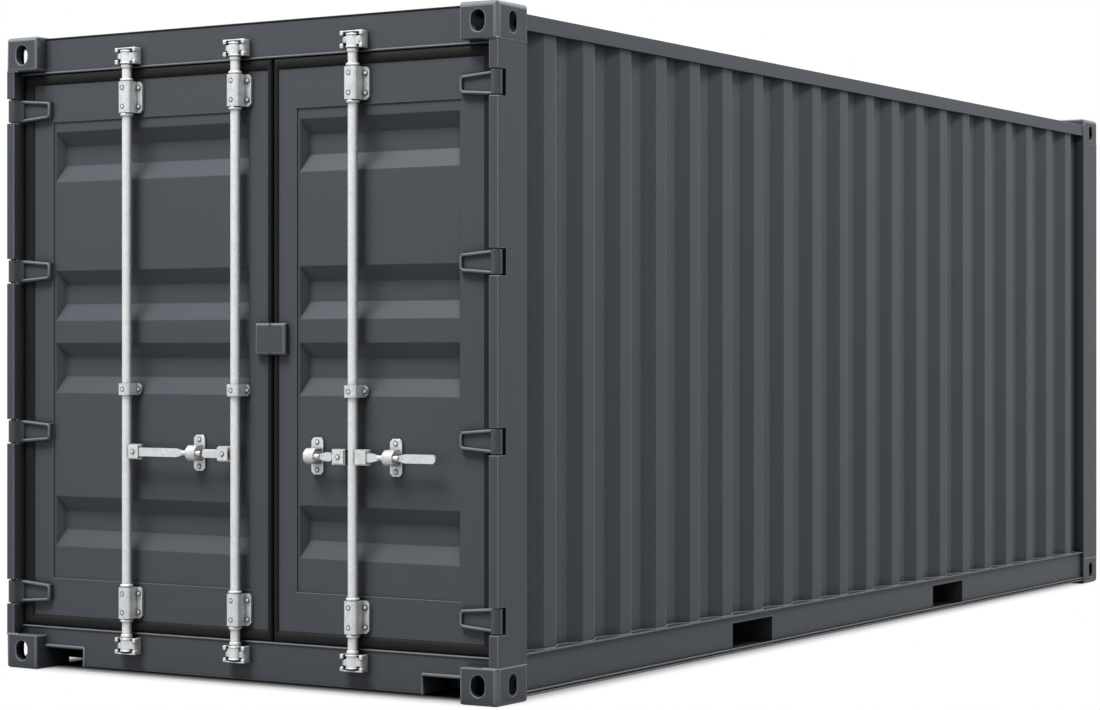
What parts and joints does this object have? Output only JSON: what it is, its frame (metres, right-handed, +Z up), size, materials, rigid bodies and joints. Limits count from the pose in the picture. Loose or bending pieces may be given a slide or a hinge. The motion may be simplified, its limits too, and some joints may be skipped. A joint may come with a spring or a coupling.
{
  "type": "storage container",
  "caption": "Steel storage container with corrugated walls, pressed double doors that swing open, turning lock bars with handles, corner castings and fork pockets.",
  "frame": {"origin": "on the ground under the middle of the container", "axes": "+Z up, doors face -Y, +X to the right as seen from the doors, length along Y"},
  "size_m": [2.438, 6.058, 2.591],
  "materials": {
    "container_paint": "satin anthracite paint",
    "galvanised_steel": "hot-dip galvanised",
    "rubber_gasket": "matt black rubber",
    "plywood_floor": "oiled plywood"
  },
  "bodies": {
    "container": {"bottom_corner_castings": "container_paint", "top_corner_castings": "container_paint", "door_post_right": "container_paint", "door_post_left": "container_paint", "blank_post_right": "container_paint", "blank_post_left": "container_paint", "top_rail_right": "container_paint", "top_rail_left": "container_paint", "bottom_rail_right": "container_paint", "bottom_rail_left": "container_paint", "side_wall_right": "container_paint", "side_wall_left": "container_paint", "door_header": "container_paint", "door_sill": "container_paint", "blank_header": "container_paint", "blank_sill": "container_paint", "end_wall": "container_paint", "roof_panel": "container_paint", "floor_deck": "plywood_floor", "cross_members": "container_paint", "fork_pockets": "container_paint", "top_cam_keepers": "galvanised_steel", "bottom_cam_keepers": "galvanised_steel"},
    "left_door": {"left_door_frame": "container_paint", "left_door_panel": "container_paint", "left_door_gasket": "rubber_gasket", "left_door_hinges": "container_paint", "left_bar_guides": "galvanised_steel", "left_handle_retainer": "galvanised_steel", "left_lock_plate": "container_paint"},
    "right_door": {"right_door_frame": "container_paint", "right_door_panel": "container_paint", "right_door_gasket": "rubber_gasket", "right_door_hinges": "container_paint", "right_bar_guides": "galvanised_steel", "right_handle_retainer": "galvanised_steel", "right_bar_stay": "galvanised_steel", "right_lock_plate": "container_paint"},
    "left_outer_bar": {"left_outer_bar": "galvanised_steel"},
    "left_inner_bar": {"left_inner_bar": "galvanised_steel"},
    "right_bar": {"right_bar": "galvanised_steel"},
    "left_outer_handle": {"left_outer_handle": "galvanised_steel"},
    "left_inner_handle": {"left_inner_handle": "galvanised_steel"},
    "right_handle": {"right_handle": "galvanised_steel"}
  },
  "joints": [
    {"name": "left_door_swing", "type": "hinge", "parent": "container", "child": "left_door", "pos_m": [-1.197, -3.004, 0.313], "axis": [0, 0, -1], "range_deg": [0, 260]},
    {"name": "right_door_swing", "type": "hinge", "parent": "container", "child": "right_door", "pos_m": [1.197, -3.004, 0.313], "axis": [0, 0, 1], "range_deg": [0, 260]},
    {"name": "left_outer_bar_turn", "type": "hinge", "parent": "left_door", "child": "left_outer_bar", "pos_m": [-0.586, -3.001, 0.901], "axis": [0, 0, 1], "range_deg": [-95, 0]},
    {"name": "left_inner_bar_turn", "type": "hinge", "parent": "left_door", "child": "left_inner_bar", "pos_m": [-0.03, -3.001, 0.901], "axis": [0, 0, -1], "range_deg": [-95, 0]},
    {"name": "right_bar_turn", "type": "hinge", "parent": "right_door", "child": "right_bar", "pos_m": [0.54, -3.001, 0.901], "axis": [0, 0, 1], "range_deg": [-95, 0]},
    {"name": "left_outer_handle_lift", "type": "hinge", "parent": "left_outer_bar", "child": "left_outer_handle", "pos_m": [-0.537, -3.001, 0.901], "axis": [0, -1, 0], "range_deg": [0, 35]},
    {"name": "left_inner_handle_lift", "type": "hinge", "parent": "left_inner_bar", "child": "left_inner_handle", "pos_m": [-0.079, -3.001, 0.901], "axis": [0, 1, 0], "range_deg": [0, 35]},
    {"name": "right_handle_lift", "type": "hinge", "parent": "right_bar", "child": "right_handle", "pos_m": [0.589, -3.001, 0.901], "axis": [0, -1, 0], "range_deg": [0, 35]}
  ]
}
